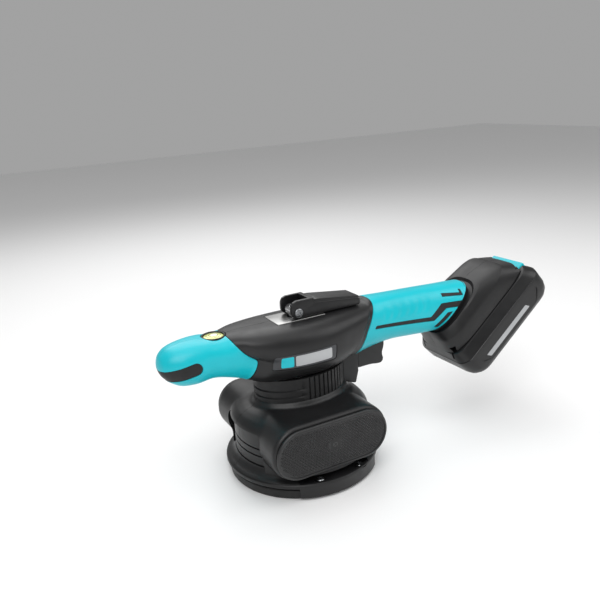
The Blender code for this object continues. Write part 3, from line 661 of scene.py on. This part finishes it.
def batteryPack():
    case = packSolid("batteryCase", pack["case"])
    carve(case, block("room", (169, -33.0, 50), (259.4, 33.0, 80.2)))
    for side in (-1, 1):    # recess on each long side
        low, high = sorted((side * pack["side"], side * 40))
        carve(case, pushOutline("labelCut", softCorners(pack["recess"], 5.0, 5), low, high))
    for v in pack["endGrooves"]:    # across the lower end
        carve(case, block("endGroove", (150, -19, v - 0.7), (163.0, 19, v + 0.7)))
    layInPack(case)
    finish(case, "battery", finishes["packShell"], ["battery_case"])
    for side, word in ((-1, "Front"), (1, "Back")):
        low, high = sorted((side * (pack["side"] - 0.25), side * (pack["side"] + 0.07)))
        bar = pushOutline("packBar" + word, softCorners(pack["bar"], 1.2, 4), low, high)
        layInPack(bar)
        finish(bar, "battery", finishes["labelGrey"])
    lid = packSolid("batteryLid", pack["lid"])
    carve(lid, block("tongue", (176, -24.0, 40.4), (268, 24.0, 50)), 'UNION')
    carve(lid, block("groove", (150, -16, 38.0), (232, 16, 46.0)))
    carve(lid, block("latchPocket", (263.7, -22.4, 46.0), (290, 20.4, 54.9)))
    for side in (-1, 1):    # small guide notch in each lower corner
        low, high = sorted((side * 20.5, side * 22.4))
        carve(lid, block("notch", (150, low, 45), (166.4, high, 52.5)))
    layInPack(lid)
    finish(lid, "battery", finishes["packShell"], ["battery_lid"])
    latch = block("batteryLatch", (269.0, -20, 47.3), (278.2, 20, 54.5), 1.2, 4)
    for u in pack["latchRibs"]:
        carve(latch, block("latchRib", (u, -12, 54.1), (u + 0.6, 12, 56)))
    carve(latch, turn("latchBore", [(0, -5), (2.8, -5), (2.8, 5), (0, 5)], 32, (270, 0, 50.9), 'X'))
    layInPack(latch)
    finish(latch, "release_latch", finishes["tealShell"], ["battery_latch"])
    print("battery done")


# vibrating head, pads, neck and suction foot

head = {
    "bossX": -1.0, "bossHalfLength": 53.6, "bossHalfHeight": 23.5, "bossZ": 42.5, "mouth": 58.0,
    "voxel": 1.25, "smoothing": 10, "bossRounding": 2.8,
    # radius of the sunk band at each end, and the height and radius of its grooves
    "band": 57.6, "bandGrooves": ((37.4, 57.6), (31.0, 57.6), (22.6, 58.0)),
    "neckX": 2.0, "neckHalfX": 41.5, "neckHalfY": 28.5, "neckLow": 56.5, "neckHigh": 90.0,
}


def stadium(inset=0.0, sides=24):
    r = head["bossHalfHeight"] - inset
    straight = head["bossHalfLength"] - head["bossHalfHeight"]
    spots = []
    for end in (1, -1):
        for i in range(sides + 1):
            angle = -pi / 2 + pi * i / sides + (0 if end > 0 else pi)
            spots.append((head["bossX"] + end * straight + r * cos(angle), head["bossZ"] + r * sin(angle)))
    return spots


def ellipse(grow, steps=96):
    return [(head["neckX"] + (head["neckHalfX"] + grow) * cos(2 * pi * i / steps),
             (head["neckHalfY"] + grow) * sin(2 * pi * i / steps)) for i in range(steps)]


def ellipseRing(grow, z, steps=96):
    return [(x, y, z) for x, y in ellipse(grow, steps)]


def vibratingHead(neckCutter):
    drum = turn("headWork", [(0, 14.6), (60.8, 14.6), (60.8, 50.5), (59.4, 55.0), (55.5, 59.5), (49, 63),
                             (40, 66.2), (0, 66.2)], 128)
    mouth = head["mouth"]
    boss = pushOutline("boss", stadium(), -mouth, mouth)
    roundEdges(boss, head["bossRounding"], 4)
    carve(drum, boss, 'UNION')
    shoulder = gridSkin("shoulder", [ellipseRing(g, z) for g, z in ((10, 50), (8.0, 58), (3.6, 64.5),
                                                                    (1.3, 69.5), (0.9, 71.0))])
    carve(drum, shoulder, 'UNION')
    step = drum.modifiers.new("blend", 'REMESH')
    step.mode = 'VOXEL'
    step.voxel_size = head["voxel"] * mm
    step.use_smooth_shade = True
    pick(drum)
    bpy.ops.object.modifier_apply(modifier=step.name)
    step = drum.modifiers.new("soften", 'SMOOTH')
    step.factor = 0.5
    step.iterations = head["smoothing"]
    bpy.ops.object.modifier_apply(modifier=step.name)
    inside = [(0, 10), (55.2, 10), (55.2, 50), (53.0, 54), (47, 59.4), (38, 63), (0, 63)]
    carve(drum, turn("drumInside", inside, 96))
    carve(drum, pushOutline("bossInside", stadium(3.0), 2 - mouth, mouth - 2))
    carve(drum, copyOf(neckCutter, "neckCut"))
    for end in (-1, 1):    # sunk band under a lip at each end
        low, high = sorted((end * 44.0, end * 80.0))
        r = head["band"]
        band = turn("band", [(r, 10), (75, 10), (75, 60), (r, 60)], 160)
        carve(band, block("bandEnd", (low, -32.5, 8), (high, 32.5, 52.4), 7.0, 6), 'INTERSECT')
        carve(drum, band)
    flare = [(54, 27), (57.4, 24.5), (58.4, 20.8), (60.8, 18.0), (63.6, 16.2), (66.2, 15.3), (66.5, 14.95),
             (54, 14.95)]
    carve(drum, turn("flare", flare, 160), 'UNION')
    for end in (-1, 1):
        low, high = sorted((end * 48.0, end * 80.0))
        for z, r in head["bandGrooves"]:
            outline = [(r - 1.5, z - 0.7), (75, z - 0.7), (75, z + 0.7), (r - 1.5, z + 0.7)]
            groove = turn("groove", outline, 160)
            carve(groove, block("grooveEnd", (low, -28.5, 0), (high, 28.5, 60)), 'INTERSECT')
            carve(drum, groove)
    for side in (-1, 1):
        low, high = sorted((side * 46.0, side * 50.0))
        carve(drum, block("recessWall", (-35, low, 15.0), (35, high, 22)), 'UNION')
        low, high = sorted((side * 50.0, side * 80))
        carve(drum, block("recess", (-33, low, 0), (33, high, 18.8), 1.5, 4))
    splitHalves(drum, "headShell", "housing", finishes["blackShell"], "base_shell")
    print("vibrating head done")


tread = {
    "pitch": 2.8, "size": 1.12, "height": 0.85,    # of the diamonds
    "border": 4.4, "thick": 3.2, "sunk": 0.9, "boreRadius": 3.9, "clear": 5.4,
}


def treadPads():
    clearSelection()
    bpy.ops.mesh.primitive_cone_add(vertices=4, radius1=tread["size"] * mm, radius2=0.3 * mm,
                                    depth=tread["height"] * mm, rotation=(pi / 2, 0, 0))
    diamond = bpy.context.object
    settle(diamond)
    for word, side in (("front", -1), ("back", 1)):
        near = side * (head["mouth"] + 0.3)
        far = near + side * tread["thick"]
        pad = pushOutline("treadPad" + word.capitalize(), stadium(2.0), *sorted((near, far)))
        roundEdges(pad, 1.9, 5)
        low, high = sorted((far - side * tread["sunk"], far + side * 4))
        carve(pad, pushOutline("field", stadium(tread["border"]), low, high))
        bore = [(0, -10), (tread["boreRadius"], -10), (tread["boreRadius"], 10), (0, 10)]
        carve(pad, turn("padBore", bore, 48, (0, far + side * 8.8, head["bossZ"]), 'Y'))
        roundEdges(pad, 0.2, 2, 50)
        spots = []
        reach = head["bossHalfHeight"] - tread["border"] - 1.3
        straight = head["bossHalfLength"] - head["bossHalfHeight"]
        half = tread["pitch"] / 2
        for i in range(-45, 46):
            for k in range(-20, 21):
                if (i + k) % 2:
                    continue
                x, z = i * half, k * half
                gapX = max(abs(x) - straight, 0)
                if hypot(gapX, z) < reach and hypot(x - 1.0, z) > tread["clear"]:
                    spots.append((head["bossX"] + x, far - side * (tread["sunk"] - tread["height"] / 2 + 0.02),
                                  head["bossZ"] + z))
        source = diamond
        if side > 0:
            source = copyOf(diamond, "flipped")
            source.data.transform(Matrix.Rotation(pi, 4, 'Z'))
        studs = scatter("studs", source, spots)
        if side > 0:
            bpy.data.objects.remove(source, do_unlink=True)
        joinInto(pad, studs)
        finish(pad, "housing", finishes["treadBlack"], ["tread_pad_" + word], smooth=25)
    bpy.data.objects.remove(diamond, do_unlink=True)
    print("pads done")


flangeScrews = {"left": (-14, 57.5), "right": (25, 56.5)}    # x and distance from the middle


def crossScrew(name, at, towards, radius, height, body, look, node, shank=1.45, length=2.6):
    profile = [(0, -length), (shank, -length), (shank, 0), (radius, 0), (radius, height * 0.45),
               (radius * 0.93, height * 0.68), (radius * 0.74, height * 0.88), (radius * 0.4, height),
               (0, height)]
    screw = turn(name, profile, 40)
    arm, wide = radius * 0.52, radius * 0.13
    for a, b in ((arm, wide), (wide, arm)):
        carve(screw, block("cross", (-a, -b, height * 0.35), (a, b, height + 1)))
    roundEdges(screw, 0.08, 2, 40)
    turned = Vector(towards).to_track_quat('Z', 'Y').to_matrix().to_4x4()
    screw.data.transform(Matrix.Translation(Vector(at) * mm) @ turned @ Matrix.Rotation(0.5, 4, 'Z'))
    finish(screw, body, finishes[look], [node] if node else ())


def screws():
    for word, side in (("front", -1), ("back", 1)):
        spot = (0, side * (head["mouth"] + 1.2), head["bossZ"])
        crossScrew("padScrew" + word.capitalize(), spot, (0, side, 0), 3.3, 1.7, "housing", "screwBlack",
                   "pad_screw_" + word, 1.5, 5.5)
        for tag, (x, y) in flangeScrews.items():
            crossScrew("flangeScrew" + word.capitalize() + tag.capitalize(), (x, side * y, 12.7), (0, 0, 1),
                       3.3, 2.0, "housing", "screwChrome", "flange_screw_" + word + "_" + tag)
    print("screws done")


neckSleeve = {
    # growth over the neck's oval, height
    "profile": [(0.2, 56.5), (0.6, 57.2), (0.7, 61.4), (0.2, 62.4), (-1.2, 62.9), (-1.3, 63.6), (0, 64.2),
                (0.1, 67.6), (-1.2, 68.2), (-1.3, 68.9), (0, 69.5), (0.1, 73.6), (-1.2, 74.2), (-1.3, 74.9),
                (0, 75.5), (0.1, 79.6), (-1.2, 80.2), (-1.3, 80.9), (0, 81.5), (0, 90.0), (-3.6, 90.0),
                (-3.6, 56.5)],
    "slots": 9, "slotStart": -97.0, "slotEnd": -46.0, "around": 180,
    "foldFade": (-118.0, -100.0),    # the folds run out before the slots
}


def neck():
    start, end = (radians(-v) for v in neckSleeve["foldFade"])
    rings = []
    for grow, z in neckSleeve["profile"]:
        ring = []
        for i in range(neckSleeve["around"]):
            angle = 2 * pi * i / neckSleeve["around"]
            around = min(angle, 2 * pi - angle)
            keep = min(1.0, max(0.0, (around - end) / (start - end)))
            g = grow * keep if -2 < grow < -0.5 else grow
            ring.append((head["neckX"] + (head["neckHalfX"] + g) * cos(angle),
                         (head["neckHalfY"] + g) * sin(angle), z))
        rings.append(ring)
    sleeve = gridSkin("neckSleeve", rings, loop=True)
    spread = neckSleeve["slotEnd"] - neckSleeve["slotStart"]
    for side in (1, -1):    # upright slots on the trigger side
        for i in range(neckSleeve["slots"]):
            turnBy = radians(neckSleeve["slotStart"] + spread * i / (neckSleeve["slots"] - 1)) * side
            x = head["neckX"] + head["neckHalfX"] * cos(turnBy)
            y = head["neckHalfY"] * sin(turnBy)
            facing = Vector((cos(turnBy) / head["neckHalfX"], sin(turnBy) / head["neckHalfY"])).normalized()
            slot = block("slot", (-1.3, -0.75, 67.5), (3, 0.75, 92))
            aim = Matrix.Rotation(-Vector((1, 0)).angle_signed(facing), 4, 'Z')
            slot.data.transform(Matrix.Translation((x * mm, y * mm, 0)) @ aim)
            carve(sleeve, slot)
    finish(sleeve, "housing", finishes["softBlack"], ["neck_sleeve"])
    print("neck done")


suction = {
    # radius and height along each turned part
    "ring": [(49, 0), (52, 0), (52.7, 0.9), (57, 0.9), (57.7, 0), (62.4, 0), (63.5, 0.4), (64, 1.4),
             (64, 6.9), (63.4, 7.6), (60.6, 7.8), (60.0, 8.4), (60.0, 9.8), (49, 9.8)],
    "disc": [(0, 0), (20, 0), (20.4, 0.5), (22, 0.5), (22.4, 0), (34, 0), (34.4, 0.5), (36, 0.5), (36.4, 0),
             (46.2, 0), (47.5, 0.5), (48, 1.4), (47.8, 3), (46.5, 3.8), (13, 3.9), (11, 4.4), (10, 6.4),
             (0, 6.5)],
    "flange": [(52, 10.4), (65.6, 10.4), (66.5, 10.8), (66.9, 11.6), (66.9, 13.6), (66.4, 14.4), (65.4, 14.8),
               (52, 14.8)],
    "dish": [(0, 12.4), (4.3, 12.4), (5.0, 12.6), (6.2, 13.6), (0, 13.6)],
}


def ringSector(name, first, span, outside, inside, low, high, side):    # part of a flat ring, on one side
    arc = [radians(first + span * i / 40) for i in range(41)]
    outline = [(outside * cos(t), side * outside * sin(t)) for t in arc]
    outline += [(inside * cos(t), side * inside * sin(t)) for t in arc[::-1]]
    return pushOutline(name, outline, low, high, 'Z')


def suctionFoot():
    ring = turn("sealRing", suction["ring"], 180)
    finish(ring, "housing", finishes["suctionRubber"], ["seal_ring"])
    disc = turn("suctionDisc", suction["disc"], 144)
    finish(disc, "lift_rod", finishes["suctionRubber"], ["suction_disc"])
    flange = turn("baseFlange", suction["flange"], 200)
    for side in (-1, 1):
        skirt = ringSector("skirt", 47, 73, 66.7, 64.4, 2.2, 14.7, side)
        roundEdges(skirt, 0.5, 3)
        carve(flange, skirt, 'UNION')
        carve(flange, ringSector("shelf", 50, 67, 64.2, 48, 13.0, 20, side))
        for x, y in flangeScrews.values():
            carve(flange, turn("dish", suction["dish"], 48, (x, side * y, 0)))
            carve(flange, turn("screwHole", [(0, 5), (1.8, 5), (1.8, 16), (0, 16)], 32, (x, side * y, 0)))
    finish(flange, "housing", finishes["blackShell"], ["base_flange"])
    print("suction foot done")


# level, lift lever and controls

def bubbleLevel():
    bezel = turn("levelBezel", [(8.3, 130.9), (10.0, 130.9), (10.0, 134.5), (9.7, 135.0), (9.2, 135.2),
                                (8.6, 135.0), (8.3, 134.4)], 80, levelSpot)
    finish(bezel, "housing", finishes["blackControl"], ["level_bezel"])
    vial = turn("levelVial", [(0, 131.0), (8.1, 131.0), (8.1, 134.0), (7.4, 134.5), (5.4, 134.9), (3, 135.1),
                              (0, 135.2)], 72, levelSpot)
    finish(vial, "housing", finishes["vialBody"], ["level_vial"])
    bubble = turn("levelBubble", [(0, 134.8), (2.5, 134.9), (2.9, 135.15), (2.2, 135.4), (0, 135.5)], 48,
                  (-71.4, 0.3, 0))
    finish(bubble, "housing", finishes["vialBubble"])
    for name, radius in (("levelMarkInner", 3.5), ("levelMarkOuter", 5.6)):
        top = 135.2 - 0.012 * radius * radius
        mark = turn(name, [(radius, top - 0.3), (radius + 0.3, top - 0.3), (radius + 0.3, top + 0.08),
                           (radius, top + 0.08)], 64, levelSpot)
        finish(mark, "housing", finishes["blackControl"])
    print("level done")


lever = {
    "pivotZ": 141.0, "length": 60.0, "half": 11.0, "cheek": 2.7,
    "cam": 4.9, "rise": 1.7, "camSteps": 16,    # the cam's radius grows by the rise over a quarter turn
}


def atPivot(outline):
    return [(x, z + lever["pivotZ"]) for x, z in outline]


def liftLever():
    plate = block("saddlePlate", (-20.5, -13, 134.3), (24, 13, 135.8), 0.35, 3)
    carve(plate, turn("plateHole", [(0, 130), (5.3, 130), (5.3, 140), (0, 140)], 64))
    finish(plate, "housing", finishes["plateSteel"], ["saddle_plate"])
    cam, length, half, steps = lever["cam"], lever["length"], lever["half"], lever["camSteps"]
    outline = [(0, -cam), (length - 1.2, -cam), (length + 0.4, -3.6), (length + 0.4, 0.6),
               (length - 2.6, 2.0), (16, 6.3), (14.6, 10.3), (-1.4, 10.3), (-4.6, 9.0), (-6.2, 6.4),
               (-6.6, 4.0)]
    outline += [(-(cam + lever["rise"] * t / steps) * sin(pi / 2 * t / steps),
                 -(cam + lever["rise"] * t / steps) * cos(pi / 2 * t / steps)) for t in range(steps, 0, -1)]
    arm = pushOutline("lever", atPivot(outline), -half, half)
    roundEdges(arm, 0.7, 3, 50)
    inner = [(-12, -12), (length - 2.5, -12), (length - 2.5, -1.6), (length - 5.5, 0.2), (16, 4.4), (12, 5.2),
             (10.5, 6.4), (10.5, 14), (-12, 14)]
    carve(arm, pushOutline("leverInside", atPivot(inner), lever["cheek"] - half, half - lever["cheek"]))
    top = [(15.6, 6.0), (length - 1.6, 1.6), (length + 0.2, 2.2), (length - 1.0, 3.3), (20, 8.5), (15.6, 8.7)]
    tab = pushOutline("leverTab", atPivot(top), -half + 0.5, half - 0.5)
    roundEdges(tab, 0.45, 3, 40)
    eye = [(0, -20), (2.6, -20), (2.6, 20), (0, 20)]
    carve(arm, turn("leverEye", eye, 48, (0, 0, lever["pivotZ"]), 'Y'))
    finish(arm, "flip_lever", finishes["blackControl"], ["lever"])
    finish(tab, "flip_lever", finishes["blackControl"])
    for side in (-1, 1):
        name = "pivotScrew" + ("Front" if side < 0 else "Back")
        crossScrew(name, (0, side * 11.2, lever["pivotZ"]), (0, side, 0), 3.8, 1.2, "lift_rod", "screwChrome",
                   "pivot_screw" if side < 0 else None, 2.5, 11.2)
    print("lever done")


control = {
    "cover": [(36.5, 68.8), (45, 66.4), (53.6, 63.2), (56.6, 74.5), (56.6, 97), (36.5, 97)], "coverHalf": 11,
    "trigger": [(57.3, 76.0), (60, 75.4), (66, 75.6), (73, 75.4), (79, 74.4), (83.0, 74.4), (85.4, 76.4),
                (85.6, 79), (84.6, 82), (84.6, 85), (86.0, 89), (86.6, 92), (86.6, 98.5), (57.3, 98.5)],
    "triggerHalf": 8,
}


def controls():
    cover = pushOutline("switchCover", control["cover"], -control["coverHalf"], control["coverHalf"])
    roundEdges(cover, 1.5, 4, 20)
    carve(cover, pushOutline("neckClear", ellipse(0.35), 50, 110, 'Z'))
    finish(cover, "housing", finishes["blackShell"], ["switch_cover"])
    trigger = pushOutline("trigger", control["trigger"], -control["triggerHalf"], control["triggerHalf"])
    roundEdges(trigger, 1.4, 4, 30)
    finish(trigger, "run_trigger", finishes["blackControl"], ["trigger"])
    print("controls done")


neckCutter = pushOutline("neckCutter", ellipse(0.3), head["neckLow"] - 3, head["neckHigh"] + 2, 'Z')
palmGrip()
bodyShell(neckCutter)
triggerGrip(neckCutter)
footShell()
batteryPack()
vibratingHead(neckCutter)
treadPads()
screws()
neck()
suctionFoot()
bubbleLevel()
liftLever()
controls()
bpy.data.objects.remove(neckCutter, do_unlink=True)

# the nodes that keep their own shape get a finish
nodeLooks = {
    "pull_rod": "rodSteel", "return_spring": "springSteel", "trigger_spring": "springSteel",
    "latch_spring": "springSteel", "control_board": "board", "board_heatsink": "heatsink",
    "trigger_switch": "blackControl", "terminal_block": "blackControl",
}
stems = (("terminal_blade", "brass"), ("battery_cell", "cellWrap"), ("motor_can", "motorSteel"),
         ("motor_bearing", "rodSteel"), ("motor_shaft", "rodSteel"), ("motor_cradle", "blackShell"),
         ("eccentric", "brass"))
for name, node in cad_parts.items():
    look = nodeLooks.get(name) or next((l for stem, l in stems if name.startswith(stem)), None)
    if look:
        node.data.materials.clear()
        node.data.materials.append(finishes[look])
print("nodes painted")


# floor, lights and camera
bpy.context.scene.view_settings.view_transform = 'Standard'
studio = {
    "camera": (-0.2429, -0.4809, 0.3209), "turned": (1.26146, 0.06002, -0.49942), "lens": 40.66,
    "lights": [((-0.55, -0.75, 0.95), 0.9, 8.5), ((0.75, -0.55, 0.75), 0.8, 4.0),
               ((0.15, 0.75, 0.9), 0.9, 5.5), ((0.0, 0.0, 1.3), 1.2, 6.0)],
}
clearSelection()
bpy.ops.mesh.primitive_plane_add(size=6.0)
floor = bpy.context.object
floor.name = "floor"
floorLook = bpy.data.materials.new("floorPale")
floorLook.use_nodes = True
floorShader = floorLook.node_tree.nodes["Principled BSDF"]
floorShader.inputs["Base Color"].default_value = (0.86, 0.86, 0.86, 1)
floorShader.inputs["Roughness"].default_value = 0.6
floor.data.materials.append(floorLook)

for number, (spot, size, power) in enumerate(studio["lights"]):
    light = bpy.data.lights.new("softbox%d" % number, 'AREA')
    light.size = size
    light.energy = power
    lamp = bpy.data.objects.new("softbox%d" % number, light)
    lamp.location = spot
    lamp.rotation_euler = (Vector((0.05, 0, 0.08)) - Vector(spot)).to_track_quat('-Z', 'Y').to_euler()
    bpy.context.scene.collection.objects.link(lamp)

world = bpy.data.worlds.new("studioAir")
world.use_nodes = True
world.node_tree.nodes["Background"].inputs["Color"].default_value = (1, 1, 1, 1)
world.node_tree.nodes["Background"].inputs["Strength"].default_value = 0.36
bpy.context.scene.world = world

cameraData = bpy.data.cameras.new("camera")
cameraData.lens = studio["lens"]
cameraData.sensor_width = 36
camera = bpy.data.objects.new("camera", cameraData)
camera.location = studio["camera"]
camera.rotation_euler = studio["turned"]
bpy.context.scene.collection.objects.link(camera)
bpy.context.scene.camera = camera
